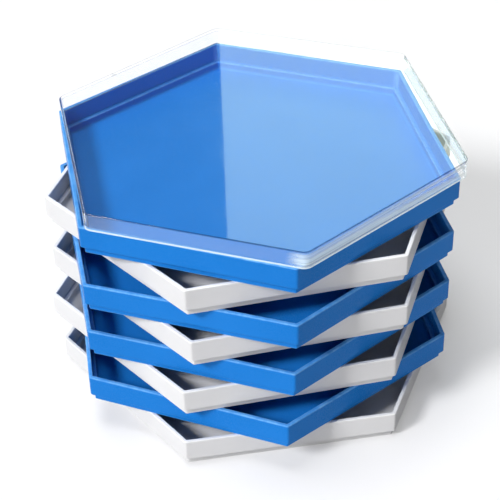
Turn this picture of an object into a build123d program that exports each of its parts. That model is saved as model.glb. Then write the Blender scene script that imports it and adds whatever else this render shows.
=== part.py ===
from build123d import *
import os

# A fanned stack of hexagonal sorting trays for jigsaw pieces, with a clear lid on the top tray.
# Every tray is the same one-piece plastic moulding; white and blue take turns up the stack.
# Frame: origin at the centre of the bottom tray's underside, a corner of that tray on +X, +Z up.
# Lengths are in millimetres and angles in degrees.

# Tray: a hexagonal dish with upright walls
sides = 6
across_flats = 220.0        # outside of the wall
tray_height = 18.75         # underside of the foot to the top of the rim
corner_radius = 2.0         # outside corners, in plan
inside_corner_radius = 0.8  # the same corners, inside the rim
wall_thickness = 2.4        # also the width of the rim
floor_thickness = 2.0
floor_radius = 1.8          # inside, where the wall sweeps into the floor
rim_bevel = 0.5             # both edges of the rim

# Foot: the lower part of the tray, stepped in to drop inside the rim of a tray in line below it
foot_height = 5.0
nesting_slack = 0.2         # a side, between a foot and the rim round it
foot_inset = wall_thickness + nesting_slack
foot_corner_radius = 1.2
foot_bevel = 0.3            # lower edge, which leads the foot into the rim
ledge_height = foot_height + floor_thickness   # the same step, as it shows inside

# Lid: a flat clear plate with a skirt that stands on the rim
lid_across_flats = 221.2    # outside of the skirt
lid_height = 11.3
lid_corner_radius = 6.0
lid_thickness = 1.2         # plate and skirt
lid_bevel = 0.3             # outside edge of the plate
lid_inside_bevel = 0.5      # inside, where the skirt meets the plate

# How the pieces lie in the stack, from the bottom up: shift in X, shift in Y, turn about Z
tray_places = {
    "tray_1_white": (0.0, 0.0, 0.0),
    "tray_2_blue": (-3.9, -0.6, 29.4),
    "tray_3_white": (-4.1, 4.5, 2.6),
    "tray_4_blue": (-3.8, 1.2, 31.4),
    "tray_5_white": (-0.3, 4.6, 3.7),
    "tray_6_blue": (-4.4, -1.7, 32.2),
    "tray_7_white": (-1.3, 3.7, 3.3),
    "tray_8_blue": (-2.0, 0.3, 31.2),
}
lid_place = (0.6, -0.9, 32.3)


def prism(flats, corner, bottom, top):
    """Upright hexagonal block with a corner on +X and its upright edges rounded."""
    outline = RegularPolygon(flats / 2, sides, major_radius=False)
    rounded = fillet(outline.vertices(), corner)
    return extrude(Plane.XY.offset(bottom) * rounded, top - bottom)


def outer_edges(solid, end):
    """Edges round the lowest face (end 0) or the highest face (end -1) of a block."""
    return solid.faces().sort_by(Axis.Z)[end].outer_wire().edges()


def tray_outside():
    """Wall block on a narrower foot block with its lower edge bevelled."""
    wall = prism(across_flats, corner_radius, foot_height, tray_height)
    foot = prism(across_flats - 2 * foot_inset, foot_corner_radius, 0, foot_height)
    return wall + chamfer(outer_edges(foot, 0), foot_bevel)


def tray_hollow():
    """Space inside the tray: wide above the ledge, one step narrower and rounded down to the floor."""
    wide_flats = across_flats - 2 * wall_thickness
    wide = prism(wide_flats, inside_corner_radius, ledge_height, tray_height)
    narrow = prism(wide_flats - 2 * foot_inset, floor_radius, floor_thickness, ledge_height)
    return wide + fillet(outer_edges(narrow, 0), floor_radius)


def tray():
    """One tray: the outside less the hollow, with both edges of the rim bevelled."""
    shell = tray_outside() - tray_hollow()
    rim = shell.faces().sort_by(Axis.Z)[-1]
    return chamfer(rim.edges(), rim_bevel)


def lid():
    """Plate and skirt in one, drawn with the skirt's lower edge at height 0."""
    block = prism(lid_across_flats, lid_corner_radius, 0, lid_height)
    inside_flats = lid_across_flats - 2 * lid_thickness
    inside_corner = lid_corner_radius - lid_thickness
    inside = prism(inside_flats, inside_corner, 0, lid_height - lid_thickness)
    return chamfer(outer_edges(block, -1), lid_bevel) - chamfer(outer_edges(inside, -1), lid_inside_bevel)


def placed(solid, place, height):
    """The solid turned and shifted to its place, with its lower face at the height."""
    shift_x, shift_y, turn = place
    return Pos(shift_x, shift_y, height) * Rot(0, 0, turn) * solid


def stack():
    """Every piece by name: each tray's foot stands on the rim below, and the lid on the top rim."""
    one_tray = tray()
    pieces = {}
    for level, (name, place) in enumerate(tray_places.items()):
        pieces[name] = placed(one_tray, place, level * tray_height)
    pieces["clear_lid"] = placed(lid(), lid_place, len(tray_places) * tray_height)
    return pieces


os.makedirs("parts", exist_ok=True)
for name, piece in stack().items():
    export_step(piece, f"parts/{name}.step")
    print(name, round(piece.volume / 1000, 1), "cm3")
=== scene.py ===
import bpy
import numpy as np
from mathutils import Matrix, Vector


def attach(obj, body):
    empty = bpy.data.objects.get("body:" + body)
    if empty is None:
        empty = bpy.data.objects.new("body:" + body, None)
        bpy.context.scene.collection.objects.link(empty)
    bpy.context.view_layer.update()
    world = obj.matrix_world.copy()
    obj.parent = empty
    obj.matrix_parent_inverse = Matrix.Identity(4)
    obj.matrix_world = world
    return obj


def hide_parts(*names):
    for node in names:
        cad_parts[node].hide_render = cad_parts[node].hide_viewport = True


# Stack of hexagonal sorting trays with a clear lid, from the bottom tray up. The shapes and
# places of the pieces are in millimetres and degrees. All else is in metres, and the noise
# scales of the materials are per metre.

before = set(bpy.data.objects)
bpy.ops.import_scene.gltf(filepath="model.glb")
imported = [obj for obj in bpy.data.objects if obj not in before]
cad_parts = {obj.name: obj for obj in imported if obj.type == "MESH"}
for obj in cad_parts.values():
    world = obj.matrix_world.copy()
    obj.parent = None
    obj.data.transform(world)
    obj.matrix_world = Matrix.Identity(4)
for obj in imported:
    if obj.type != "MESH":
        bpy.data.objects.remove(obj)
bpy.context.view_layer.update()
print("packed model loaded:", len(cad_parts), "nodes")


class Wire:  # one output socket, so that shader maths reads as plain sums
    def __init__(self, bench, socket):
        self.bench, self.socket = bench, socket

    def sum(self, operation, *terms):
        return self.bench.node("ShaderNodeMath", {"operation": operation}, dict(enumerate(terms)))

    def __add__(self, other): return self.sum("ADD", self, other)
    def __radd__(self, other): return self.sum("ADD", other, self)
    def __sub__(self, other): return self.sum("SUBTRACT", self, other)
    def __rsub__(self, other): return self.sum("SUBTRACT", other, self)
    def __mul__(self, other): return self.sum("MULTIPLY", self, other)
    def __rmul__(self, other): return self.sum("MULTIPLY", other, self)
    def larger(self, other): return self.sum("MAXIMUM", self, other)
    def smaller(self, other): return self.sum("MINIMUM", self, other)
    def size(self): return self.sum("ABSOLUTE", self)

    def between(self, low, high):  # 0 below low, 1 above high, smooth in between
        return self.bench.node("ShaderNodeMapRange", {"interpolation_type": "SMOOTHSTEP"},
                               {"Value": self, "From Min": low, "From Max": high})


class Bench:  # a material, or the world, and the one way in which nodes are added to it
    def __init__(self, owner):
        owner.use_nodes = True
        self.owner, self.tree = owner, owner.node_tree
        self.tree.nodes.clear()

    def node(self, kind, settings=None, values=None, out=0):
        made = self.tree.nodes.new(kind)
        for name, value in (settings or {}).items():
            setattr(made, name, value)
        for name, value in (values or {}).items():
            socket = made.inputs[name]
            if isinstance(value, Wire):
                self.tree.links.new(value.socket, socket)
            else:  # a colour of three numbers gets the alpha that its socket has besides
                now = socket.default_value
                short = hasattr(now, "__len__") and len(value) == len(now) - 1
                socket.default_value = (*value, 1.0) if short else value
        return Wire(self, made.outputs[out])

    def path(self, name):  # 1 for the rays that the name stands for
        return self.node("ShaderNodeLightPath", out=name)

    def place(self):  # Object coordinates
        return self.node("ShaderNodeTexCoord", out="Object")

    def mark(self, name):  # a value that the mesh keeps at each of its points
        return self.node("ShaderNodeAttribute", {"attribute_name": name}, out="Fac")

    def noise(self, place, scale, detail=3.0, roughness=0.55):
        return self.node("ShaderNodeTexNoise", None, {"Vector": place, "Scale": scale,
                                                      "Detail": detail, "Roughness": roughness})

    def stretched(self, place, scale, turn=(0.0, 0.0, 0.0)):
        return self.node("ShaderNodeMapping", None,
                         {"Vector": place, "Scale": scale, "Rotation": turn})

    def hairline(self, place, stretch, turn, scale, sharpness):
        # 1 along the thin lines where a drawn-out noise crosses its middle value, 0 elsewhere.
        streak = self.noise(self.stretched(place, stretch, turn), scale, 2.0)
        return 1 - ((streak - 0.5).size() * sharpness).smaller(1.0)

    def tint(self, amount, first, second):  # colours are mixed here, never in a sum
        return self.node("ShaderNodeMix", {"data_type": "RGBA"},
                         {0: amount, 6: first, 7: second}, out=2)

    def bump(self, height, strength, distance, under=None, dented=False):
        values = {"Height": height, "Strength": strength, "Distance": distance}
        if under:
            values["Normal"] = under
        return self.node("ShaderNodeBump", {"invert": dented}, values)

    def blend(self, amount, first, second):
        return self.node("ShaderNodeMixShader", None, {0: amount, 1: first, 2: second})

    def finish(self, shader, kind="ShaderNodeOutputMaterial"):
        made = self.tree.nodes.new(kind)
        self.tree.links.new(shader.socket, made.inputs["Surface"])
        return self.owner


bendSteps = 6            # steps round one bend of a cross-section
guard, fade = 0.12, 0.45  # how far a run's two extra points lie from its end, in millimetres
guardCap, fadeCap = 0.2, 0.4  # the same at most, as shares of a short run
sideWearAndPaintedLight = 0.7           # wear and painted light where a bend meets its runs, as a share of the bend's own


def roundedLine(start, bends, end):
    # An open line of straight runs. Each bend is its reach and height, its radius, its mark and
    # the mark of the flat run that leaves it; a mark is wear together with painted light, a
    # painted highlight on the trays and a painted grey edge shade on the lid. An arc that touches
    # both runs
    # takes the place of the corner: its centre lies on the bisector at radius / sin(half the
    # angle), and its points turn evenly from one touching point to the other. Each run keeps two
    # points near either end, so that flat faces stay flat when shaded. The mark is strongest
    # mid-arc, and fades between the two points to the mark of the flat run.
    bends = np.array(bends, float)
    corners, radii = bends[:, :2], bends[:, 2:3]
    points = np.vstack([start, corners, end])
    back, ahead = points[:-2] - corners, points[2:] - corners
    back /= np.linalg.norm(back, axis=1, keepdims=True)
    ahead /= np.linalg.norm(ahead, axis=1, keepdims=True)
    half = 0.5 * np.arccos(np.clip((back * ahead).sum(1, keepdims=True), -1, 1))
    bisector = (back + ahead) / np.linalg.norm(back + ahead, axis=1, keepdims=True)
    centre = corners + bisector * radii / np.sin(half)
    touchBack = corners + back * radii / np.tan(half)
    touchAhead = corners + ahead * radii / np.tan(half)
    share = np.linspace(0, 1, bendSteps + 1)[None, :, None]
    turn = (np.pi - 2 * half)[:, :, None]
    fromBack = np.sin((1 - share) * turn) * (touchBack - centre)[:, None]
    fromAhead = np.sin(share * turn) * (touchAhead - centre)[:, None]
    arcs = centre[:, None] + (fromBack + fromAhead) / np.sin(turn)
    starts, ends = np.vstack([points[:1], touchAhead]), np.vstack([touchBack, points[-1:]])
    length = np.linalg.norm(ends - starts, axis=1)[:, None, None]
    near, far = np.minimum(guard / length, guardCap), np.minimum(fade / length, fadeCap)
    stops = np.concatenate([near, far, 1 - far, 1 - near], axis=1)
    runs = starts[:, None] + (ends - starts)[:, None] * stops
    wearsAndPaintedLight = np.array([0, *bends[:, 3], 0])[:, None]
    flatWearsAndPaintedLight = np.array([0, *bends[:, 4]])[:, None]
    edgeWear = np.maximum(sideWearAndPaintedLight * np.hstack([wearsAndPaintedLight[:-1], wearsAndPaintedLight[1:]]), flatWearsAndPaintedLight)
    runWearAndPaintedLight = np.hstack([edgeWear[:, :1], flatWearsAndPaintedLight, flatWearsAndPaintedLight, edgeWear[:, 1:]])
    arcWearAndPaintedLight = wearsAndPaintedLight[1:-1] * (sideWearAndPaintedLight + (1 - sideWearAndPaintedLight) * np.sin(np.pi * share[0, :, 0]))
    line = np.concatenate([runs[:-1], arcs], axis=1).reshape(-1, 2)
    wearAndPaintedLight = np.concatenate([runWearAndPaintedLight[:-1], arcWearAndPaintedLight], axis=1).reshape(-1)
    return (np.vstack([points[:1], line, runs[-1], points[-1:]]),
            np.concatenate([[0], wearAndPaintedLight, runWearAndPaintedLight[-1], [0]]))


sides = 6
halfTurn = np.radians(180 / sides)  # from the middle of a side to a corner
arcPoints, runPoints = 9, 9         # points in one rounded corner and in one straight side


def hexagonRings(reach, corner, sink):
    # Rounded hexagons, one for each row of reach, its distance from the centre to a side. The
    # six arcs turn by 60 degrees about centres on the spokes at (reach - corner) / cos 30, and
    # straight runs join them. Sink pulls the middle of every run inwards along a parabola.
    spokes = 2 * halfTurn * np.arange(sides)
    aim = spokes[:, None] + np.linspace(-halfTurn, halfTurn, arcPoints)[None]
    centre = np.stack([np.cos(spokes), np.sin(spokes)], -1)[None, :, None]
    hub = ((reach - corner) / np.cos(halfTurn))[:, None, None, None] * centre
    arcs = hub + corner[:, None, None, None] * np.stack([np.cos(aim), np.sin(aim)], -1)[None]
    share = 0.5 - 0.5 * np.cos(np.pi * np.linspace(0, 1, runPoints + 2)[1:-1])
    share = share[None, None, :, None]
    leave, arrive = arcs[:, :, -1:], np.roll(arcs, -1, axis=1)[:, :, :1]
    out = np.stack([np.cos(spokes + halfTurn), np.sin(spokes + halfTurn)], -1)
    runs = leave + (arrive - leave) * share
    runs = runs - sink[:, None, None, None] * (4 * share * (1 - share)) * out[None, :, None]
    return np.concatenate([arcs, runs], axis=2).reshape(len(reach), -1, 2)


def skin(name, rings, poles, marks):
    # A closed body from rows of rings, with one point at each end that its nearest ring fans to.
    rows, columns = rings.shape[:2]
    points = np.vstack([rings.reshape(-1, 3), poles])
    index = np.arange(rows * columns).reshape(rows, columns)
    across = np.roll(index, -1, axis=1)
    quads = np.stack([index[:-1], across[:-1], across[1:], index[1:]], -1).reshape(-1, 4)
    low, high = rows * columns, rows * columns + 1
    first = np.stack([np.full(columns, low), across[0], index[0]], -1)
    last = np.stack([np.full(columns, high), index[-1], across[-1]], -1)
    mesh = bpy.data.meshes.new(name)
    mesh.from_pydata(points.tolist(), [], quads.tolist() + first.tolist() + last.tolist())
    mesh.polygons.foreach_set("use_smooth", np.ones(len(mesh.polygons), bool))
    for mark, values in marks.items():
        whole = np.concatenate([values.reshape(-1), [0.0, 0.0]]).astype(np.float32)
        mesh.attributes.new(mark, "FLOAT", "POINT").data.foreach_set("value", whole)
    mesh.update()
    piece = bpy.data.objects.new(name, mesh)
    bpy.context.scene.collection.objects.link(piece)
    return piece


def sweep(name, profile, corner, sink, cornerHighlight, place, level):
    # The profile gives reach and height; it is carried round the hexagon, turned and set in
    # place. The mesh keeps the profile's mark of wear and painted light, or the rounded corner's
    # painted highlight where that is more.
    line, wearAndPaintedLight = profile
    reach, height = line[1:-1, 0], line[1:-1, 1]
    flat = hexagonRings(reach, corner(reach), sink(height))
    shiftX, shiftY, turn = place
    cosine, sine = np.cos(np.radians(turn)), np.sin(np.radians(turn))
    x = flat[..., 0] * cosine - flat[..., 1] * sine + shiftX
    y = flat[..., 0] * sine + flat[..., 1] * cosine + shiftY
    z = np.broadcast_to(height[:, None], x.shape) + level
    poles = [[shiftX, shiftY, line[0, 1] + level], [shiftX, shiftY, line[-1, 1] + level]]
    onArc = np.tile(np.arange(arcPoints + runPoints) < arcPoints, sides)
    # mark of wear and painted light, or the painted highlight of the inside corners
    worn = np.maximum(wearAndPaintedLight[1:-1, None], cornerHighlight(reach, height)[:, None] * onArc)
    return skin(name, np.stack([x, y, z], -1) / 1000, np.array(poles) / 1000, {"worn": worn})


trayShape = {
    "reach": 109.95, "height": 18.75, "wall": 2.4, "floor": 2.0,
    "footReach": 107.4, "footHeight": 5.0, "ledgeHeight": 7.0, "ledge": 2.6, "wallSink": 0.25,
    "gateReach": 4.0, "gateDepth": 0.6, "gateSlope": 0.8,
    # the rim and ledge marks are wear with a painted highlight; the inside corners get a painted
    # highlight only
    "rimWearAndHighlight": 0.6, "ledgeWear": 0.2, "insideCornerHighlight": 1.0, "insideMargin": 0.1,
    "cornersAt": [0, 5.0, 103.2, 105.0, 107.5, 110.0],  # reach, and the corner's radius there
    "cornerRadii": [0, 0.5, 0.9, 1.8, 1.0, 2.0],
}


def trayProfile(s):
    # Half of the cross-section, from the middle of the underside, out round the foot, up the
    # wall, over the rim and down inside past the ledge to the middle of the floor.
    inner, gate = s["reach"] - s["wall"], s["gateReach"]
    well = inner - s["ledge"]
    # each bend: reach, height, radius, then its mark of wear and painted highlight, and that of
    # the run after it
    bends = [
        (gate, s["gateDepth"], 0.3, 0, 0),
        (gate + s["gateSlope"], 0, 0.3, 0.2, 0),
        (s["footReach"], 0, 0.3, 0.6, 0),
        (s["footReach"], s["footHeight"], 0.2, 0, 0),
        (s["reach"], s["footHeight"], 0.3, 0.1, 0),
        (s["reach"], s["height"], 0.6, 1.0, s["rimWearAndHighlight"]),
        (inner, s["height"], 0.6, 1.0, 0),
        (inner, s["ledgeHeight"], 0.5, 0, s["ledgeWear"]),
        (well, s["ledgeHeight"], 0.5, 0.8, 0),
        (well, s["floor"], 1.8, 0, 0),
    ]
    return roundedLine((0, s["gateDepth"]), bends, (0, s["floor"]))


def makeTray(name, place, level):
    # The wall draws in from nothing at the foot's top to its most at the rim, and the corners
    # inside the wall get a painted highlight above the ledge.
    s = trayShape
    inside = s["reach"] - s["wall"] + s["insideMargin"]

    def sink(height):
        rise = (height - s["footHeight"]) / (s["height"] - s["footHeight"])
        return s["wallSink"] * np.clip(rise, 0, 1)

    def corner(reach):
        return np.interp(reach, s["cornersAt"], s["cornerRadii"])

    def cornerHighlight(reach, height):
        return s["insideCornerHighlight"] * ((reach < inside) & (height > s["ledgeHeight"]))

    return sweep(name, trayProfile(s), corner, sink, cornerHighlight, place, level)


trayPlaces = {  # node: shift in X, shift in Y, turn about Z
    "tray_1_white": (0.0, 0.0, 0.0), "tray_2_blue": (-3.9, -0.6, 29.4),
    "tray_3_white": (-4.1, 4.5, 2.6), "tray_4_blue": (-3.8, 1.2, 31.4),
    "tray_5_white": (-0.3, 4.6, 3.7), "tray_6_blue": (-4.4, -1.7, 32.2),
    "tray_7_white": (-1.3, 3.7, 3.3), "tray_8_blue": (-2.0, 0.3, 31.2),
}

plasticLooks = {
    # wornAndHighlightColour: the pale tone of worn edges and of the painted highlights on them
    "whitePlastic": {"colour": (0.80, 0.797, 0.80), "shade": (0.76, 0.757, 0.765),
                     "wornAndHighlightColour": (0.88, 0.88, 0.88), "roughness": 0.34, "speck": 0.05},
    "bluePlastic": {"colour": (0.016, 0.217, 0.69), "shade": (0.012, 0.197, 0.64),
                    "wornAndHighlightColour": (0.22, 0.52, 0.90), "roughness": 0.28, "speck": 0.03},
}

plasticPattern = {  # ends: values between which a mask rises from 0 to 1
    # hairline: stretch, turn, noise scale, sharpness; bump: strength, distance
    "seedShift": (0.37, 0.11, 0.0), "clouds": 9.0, "waves": 34.0, "grain": 1500.0, "breaks": 170.0,
    "hairlineA": ((1.0, 60.0, 14.0), (0.2, 0.4, 0.7), 26.0, 60),
    "hairlineB": ((55.0, 1.0, 16.0), (0.5, -0.3, -0.5), 22.0, 60),
    "hairEndsA": (0.52, 0.62), "hairEndsB": (0.5, 0.62), "breakEnds": (0.36, 0.66),
    "cloudEnds": (0.35, 0.7), "speckEnds": (0.6, 0.85), "leastMarkShare": 0.45, "wornAndHighlightShare": 0.7,
    "cloudRough": 0.12, "grainRough": 0.1, "rubbedRough": 0.12, "hairRough": 0.05,
    "grainBump": (0.10, 0.0001), "waveBump": (0.5, 0.0006), "hairBump": (0.12, 0.00003),
    "ior": 1.49, "specular": 0.07,
}


def mouldedPlastic(name, look, p, seed):
    # Colour: broad clouds between colour and shade, fine specks, and a paler tone where the mark
    # of wear and painted light meets a broken noise: worn rims and edges, with a painted highlight
    # on the rims, edges, ledge and inside corners. Roughness: broad clouds, grain, rubbed edges
    # and
    # faint hairlines. Bump: mould grain, soft waves of the wall, and hairline scratches.
    bench = Bench(bpy.data.materials.new(name))
    shift = tuple(seed * step for step in p["seedShift"])
    here = bench.node("ShaderNodeVectorMath", {"operation": "ADD"}, {0: bench.place(), 1: shift})
    clouds, waves = bench.noise(here, p["clouds"], 4.0), bench.noise(here, p["waves"], 2.0)
    grain = bench.noise(here, p["grain"], 2.0, 0.6)
    breaks = bench.noise(here, p["breaks"], 5.0, 0.7)
    markBreakup = breaks.between(*p["breakEnds"])
    rubbedAndPaintedLight = bench.mark("worn") * (p["leastMarkShare"] + (1 - p["leastMarkShare"]) * markBreakup)
    hairlines = (bench.hairline(here, *p["hairlineA"]) * breaks.between(*p["hairEndsA"])
                 + bench.hairline(here, *p["hairlineB"]) * waves.between(*p["hairEndsB"]))
    colour = bench.tint(clouds.between(*p["cloudEnds"]), look["shade"], look["colour"])
    specks = grain.between(*p["speckEnds"]) * look["speck"]
    colour = bench.tint(specks, colour, (1.0, 1.0, 1.0))
    # paler where the edges are worn, and a painted highlight on rims, edges, ledge and inside
    # corners
    colour = bench.tint(rubbedAndPaintedLight * p["wornAndHighlightShare"], colour, look["wornAndHighlightColour"])
    roughness = (look["roughness"] + (clouds - 0.5) * p["cloudRough"]
                 + (grain - 0.5) * p["grainRough"] + rubbedAndPaintedLight * p["rubbedRough"]
                 + hairlines * p["hairRough"])
    bump = bench.bump(grain, *p["grainBump"])
    bump = bench.bump(waves, *p["waveBump"], under=bump)
    bump = bench.bump(hairlines, *p["hairBump"], under=bump, dented=True)
    return bench.finish(bench.node("ShaderNodeBsdfPrincipled", None, {
        "Base Color": colour, "Roughness": roughness, "Normal": bump,
        "IOR": p["ior"], "Specular IOR Level": p["specular"]}))


plastics = {name: mouldedPlastic(name, look, plasticPattern, seed)
            for seed, (name, look) in enumerate(plasticLooks.items(), 1)}
for count, (node, place) in enumerate(trayPlaces.items()):
    colourName = node.rsplit("_", 1)[1]
    tray = makeTray(f"trayShell{count + 1}", place, count * trayShape["height"])
    tray.data.materials.append(plastics[colourName + "Plastic"])
    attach(tray, "bottom_tray" if count == 0 else f"tray_{count + 1}")
    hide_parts(node)
print("trays made:", len(trayPlaces))


lidShape = {
    "reach": 110.6, "height": 11.3, "wall": 1.2, "clearance": 0.05,
    "place": (0.6, -0.9, 32.3), "level": len(trayPlaces) * trayShape["height"],
    "cornersAt": [0, 5.0, 104.0, 109.4, 110.6],  # reach, and the corner's radius there
    "cornerRadii": [0, 0.5, 1.5, 4.8, 6.0],
}


def makeLid(name, s):
    # From the middle of the plate's underside, down inside the skirt, round its lower edge and
    # up outside to the middle of the plate's top. The clearance keeps the edge and the rim apart.
    inner, under, low = s["reach"] - s["wall"], s["height"] - s["wall"], s["clearance"]
    # each bend: reach, height, radius, then its mark of wear and painted edge shade, and that of
    # the run after it
    bends = [
        (inner, under, 0.5, 0.3, 0),
        (inner, low, 0.2, 0.1, 0.1),
        (s["reach"], low, 0.2, 0.1, 0),
        (s["reach"], s["height"], 0.3, 1.0, 0),
    ]
    profile = roundedLine((0, under), bends, (0, s["height"]))

    def corner(reach):
        return np.interp(reach, s["cornersAt"], s["cornerRadii"])

    def cornerHighlight(reach, height):
        return np.zeros_like(reach)

    return sweep(name, profile, corner, np.zeros_like, cornerHighlight, s["place"], s["level"])


skirtLow = lidShape["level"] / 1000
skirtTop = skirtLow + (lidShape["height"] - lidShape["wall"]) / 1000

clearLook = {  # ends, hairlines and bumps as in plasticPattern
    # the edge colour is painted shade that draws the lid's edges as grey lines
    "clear": (0.985, 0.99, 1.0), "edge": (0.20, 0.20, 0.24), "ior": 1.12, "roughness": 0.02,
    "coatIor": 1.5, "coatRoughness": 0.02, "shadow": (0.97, 0.975, 0.98),
    "satin": (0.86, 0.99, 1.0), "satinRoughness": 0.35, "satinIor": 1.5,
    # the low edge haze is a painted highlight along the front of the lower edge
    "haze": 0.02, "lowEdgeHighlightHaze": 0.6, "frontRightHaze": 0.36, "leastFrontRightHaze": 0.35, "streakFrontRightHaze": 1.1,
    "frontRightSide": (0.534, -0.845, 0.0), "frontRightHazeEnds": (0.100, 0.110), "streakEnds": (0.42, 0.6),
    "plateEnds": (skirtTop - 0.0008, skirtTop), "frontEnds": (-0.012, 0.004),
    "lowEdgeEnds": (skirtLow + 0.0002, skirtLow + 0.0008),
    "clouds": 14.0, "breaks": 150.0, "streaks": (4.0, 4.0, 420.0), "breakEnds": (0.4, 0.7),
    "hairlineA": ((1.0, 50.0, 12.0), (0.0, 0.0, 0.6), 20.0, 90),
    "hairlineB": ((45.0, 1.0, 12.0), (0.0, 0.0, -0.9), 18.0, 90), "hairEnds": (0.5, 0.62),
    "cloudRough": 0.015, "hairRough": 0.10, "rubbedRough": 0.10,
    "cloudBump": (0.12, 0.0008), "hairBump": (0.1, 0.00002),
}


def clearPlastic(name, look):
    # Clear plastic under a glossy coat, grey where the mesh is marked: a painted shade that draws
    # its edges as grey lines. Its low index hardly bends what is seen through it, as in a thin
    # sheet. A
    # satin haze lies on the skirt: faint all round, streaky and stronger on the side facing
    # front-right, and strong along the front of the lower edge, a painted highlight. Lamps and
    # bounced light pass straight through, so that the tray under it is lit.
    bench = Bench(bpy.data.materials.new(name))
    here, worn = bench.place(), bench.mark("worn")
    clouds = bench.noise(here, look["clouds"], 3.0)
    breaks = bench.noise(here, look["breaks"], 4.0, 0.7)
    streaks = bench.noise(bench.stretched(here, look["streaks"]), 1.0, 2.0)
    hairlines = (bench.hairline(here, *look["hairlineA"]) * breaks.between(*look["hairEnds"])
                 + bench.hairline(here, *look["hairlineB"]) * clouds.between(*look["hairEnds"]))
    rubbedAndPaintedLight = worn * breaks.between(*look["breakEnds"])
    roughness = (look["roughness"] + clouds * look["cloudRough"] + hairlines * look["hairRough"]
                 + rubbedAndPaintedLight * look["rubbedRough"])
    bump = bench.bump(clouds, *look["cloudBump"])
    bump = bench.bump(hairlines, *look["hairBump"], under=bump, dented=True)
    # grey where the mesh is marked: painted shade along the lid's edges
    body = bench.node("ShaderNodeBsdfPrincipled", None, {
        "Base Color": bench.tint(worn, look["clear"], look["edge"]), "Roughness": roughness,
        "Normal": bump, "IOR": look["ior"], "Transmission Weight": 1.0, "Coat Weight": 1.0,
        "Coat Roughness": look["coatRoughness"], "Coat IOR": look["coatIor"]})
    height = bench.node("ShaderNodeSeparateXYZ", None, {0: here}, out="Z")
    front = bench.node("ShaderNodeVectorMath", {"operation": "DOT_PRODUCT"},
                       {0: here, 1: look["frontRightSide"]}, out="Value")
    onSkirt = 1 - height.between(*look["plateEnds"])
    # painted highlight: a pale band along the lower edge, on the front half only
    lowEdgeHighlight = front.between(*look["frontEnds"]) - height.between(*look["lowEdgeEnds"])
    streaky = look["leastFrontRightHaze"] + look["streakFrontRightHaze"] * streaks.between(*look["streakEnds"])
    # hazier, in streaks, on the skirt side that faces front-right
    sideHaze = front.between(*look["frontRightHazeEnds"]) * look["frontRightHaze"] * streaky
    haze = (look["haze"] + sideHaze).larger(lowEdgeHighlight * look["lowEdgeHighlightHaze"])
    satin = bench.node("ShaderNodeBsdfPrincipled", None, {
        "Base Color": look["satin"], "Roughness": look["satinRoughness"],
        "IOR": look["satinIor"]})
    through = bench.node("ShaderNodeBsdfTransparent", None, {"Color": look["shadow"]})
    passing = bench.path("Is Shadow Ray").larger(bench.path("Is Diffuse Ray"))
    return bench.finish(bench.blend(passing, bench.blend(onSkirt * haze, body, satin), through))


lid = makeLid("clearLidShell", lidShape)
lid.data.materials.append(clearPlastic("clearPlastic", clearLook))
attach(lid, "lid")
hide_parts("clear_lid")
print("lid made")


studio = {
    "floorSize": 12.0, "floorColour": (0.65, 0.65, 0.66), "floorBounce": (0.38, 0.38, 0.39),
    "floorLift": 0.23, "liftThroughLid": 0.33,
    "skyLight": 0.15, "skyInGloss": 0.12, "skyline": (0.15, 0.35), "sunDistance": 3,
    "suns": {  # azimuth, elevation, strength, angular size, and whether the lid mirrors it
        "keySoftbox": (208.0, 40.0, 2.60, 14.0, True),
        "fillSoftbox": (248.0, 16.0, 0.80, 30.0, False),
        "topSoftbox": (150.0, 80.0, 1.5, 30.0, False),
    },
    "panelPlace": (0.532, 1.817, 1.43), "panelAim": (-0.25, -0.97, 0.0),
    "panelSize": (0.62, 0.95), "panelGlow": 1.5, "panelColour": (0.78, 1.0, 0.74),
}
white = (1.0, 1.0, 1.0)


def makeFloor(s):
    # Pale for the rays that show it, seen, mirrored or refracted, and darker for the light that
    # it sends back. A little glow lifts it, more where it is seen through the lid.
    half = s["floorSize"] / 2
    mesh = bpy.data.meshes.new("floor")
    mesh.from_pydata([(-half, -half, 0), (half, -half, 0), (half, half, 0), (-half, half, 0)],
                     [], [(0, 1, 2, 3)])
    floor = bpy.data.objects.new("floor", mesh)
    bpy.context.scene.collection.objects.link(floor)
    bench = Bench(bpy.data.materials.new("paleFloor"))
    refracted = bench.path("Is Transmission Ray")
    shows = bench.path("Is Camera Ray").larger(bench.path("Is Glossy Ray")).larger(refracted)
    shade = bench.tint(shows, s["floorBounce"], s["floorColour"])
    paint = bench.node("ShaderNodeBsdfDiffuse", None, {"Color": shade})
    glow = shows * s["floorLift"] + refracted * s["liftThroughLid"]
    lift = bench.node("ShaderNodeEmission", None, {"Color": white, "Strength": glow})
    both = bench.node("ShaderNodeAddShader", None, {0: paint, 1: lift})
    mesh.materials.append(bench.finish(both))


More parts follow.
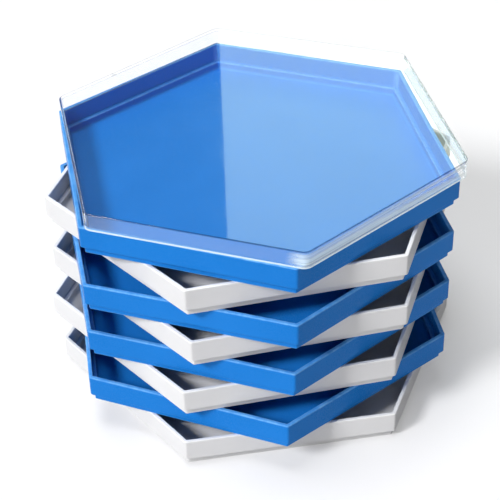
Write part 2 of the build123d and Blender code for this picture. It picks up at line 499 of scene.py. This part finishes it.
def makeSky(s):
    # White where it is seen, and below the skyline where it is mirrored or refracted. Elsewhere
    # it is a soft light, dimmer in what the lid mirrors and refracts.
    world = bpy.data.worlds.new("studioSky")
    bpy.context.scene.world = world
    bench = Bench(world)
    seen, refracted = bench.path("Is Camera Ray"), bench.path("Is Transmission Ray")
    mirrored = bench.path("Is Glossy Ray")
    aim = bench.node("ShaderNodeTexCoord", out="Generated")
    low = 1 - bench.node("ShaderNodeSeparateXYZ", None, {0: aim}, out="Z").between(*s["skyline"])
    dome = mirrored * s["skyInGloss"] + (1 - mirrored) * s["skyLight"]
    shows = seen.larger(refracted.larger(mirrored) * low)
    dim = refracted * s["skyInGloss"] + (1 - refracted) * dome
    glow = bench.node("ShaderNodeBackground", None,
                      {"Color": white, "Strength": shows + (1 - shows) * dim})
    bench.finish(glow, "ShaderNodeOutputWorld")


def makeLamp(name, kind, settings, place, shines, inGloss):
    lamp = bpy.data.lights.new(name, kind)
    for key, value in settings.items():
        setattr(lamp, key, value)
    holder = bpy.data.objects.new(name, lamp)
    holder.location = place
    holder.rotation_euler = Vector(shines).to_track_quat("-Z", "Y").to_euler()
    holder.visible_camera = False
    holder.visible_glossy = holder.visible_transmission = inGloss
    bpy.context.scene.collection.objects.link(holder)


def makeLamps(s):
    # The suns shine from their aim to the origin. The panel's power grows with its area, so that
    # it glows the same at any size.
    for name, (azimuth, elevation, strength, angle, inGloss) in s["suns"].items():
        a, e = np.radians([azimuth, elevation])
        aim = Vector((np.cos(e) * np.cos(a), np.cos(e) * np.sin(a), np.sin(e)))
        makeLamp(name, "SUN", {"energy": strength, "angle": np.radians(angle)},
                 aim * s["sunDistance"], -aim, inGloss)
    wide, tall = s["panelSize"]
    panel = {"shape": "RECTANGLE", "size": wide, "size_y": tall, "color": s["panelColour"],
             "energy": s["panelGlow"] * np.pi * wide * tall}
    makeLamp("backPanel", "AREA", panel, s["panelPlace"], s["panelAim"], True)


makeFloor(studio)
makeSky(studio)
makeLamps(studio)

photoView = {
    "place": (-0.11450, -0.72063, 0.61572), "right": (0.98515, -0.17045, -0.02062),
    "up": (0.11814, 0.58578, 0.80181), "back": (-0.12459, -0.79234, 0.59722),
    "lens": 103.99, "sensor": 36.0, "shift": (-0.0118, -0.0063), "clip": (0.05, 50.0),
}
camera = bpy.data.cameras.new("photoCamera")
camera.lens, camera.sensor_width = photoView["lens"], photoView["sensor"]
camera.shift_x, camera.shift_y = photoView["shift"]
camera.clip_start, camera.clip_end = photoView["clip"]
eye = bpy.data.objects.new("photoCamera", camera)
axes = Matrix([photoView["right"], photoView["up"], photoView["back"]]).transposed()
eye.matrix_world = Matrix.Translation(photoView["place"]) @ axes.to_4x4()
bpy.context.scene.collection.objects.link(eye)
bpy.context.scene.camera = eye
bpy.context.scene.view_settings.view_transform = "Standard"
print("studio set")
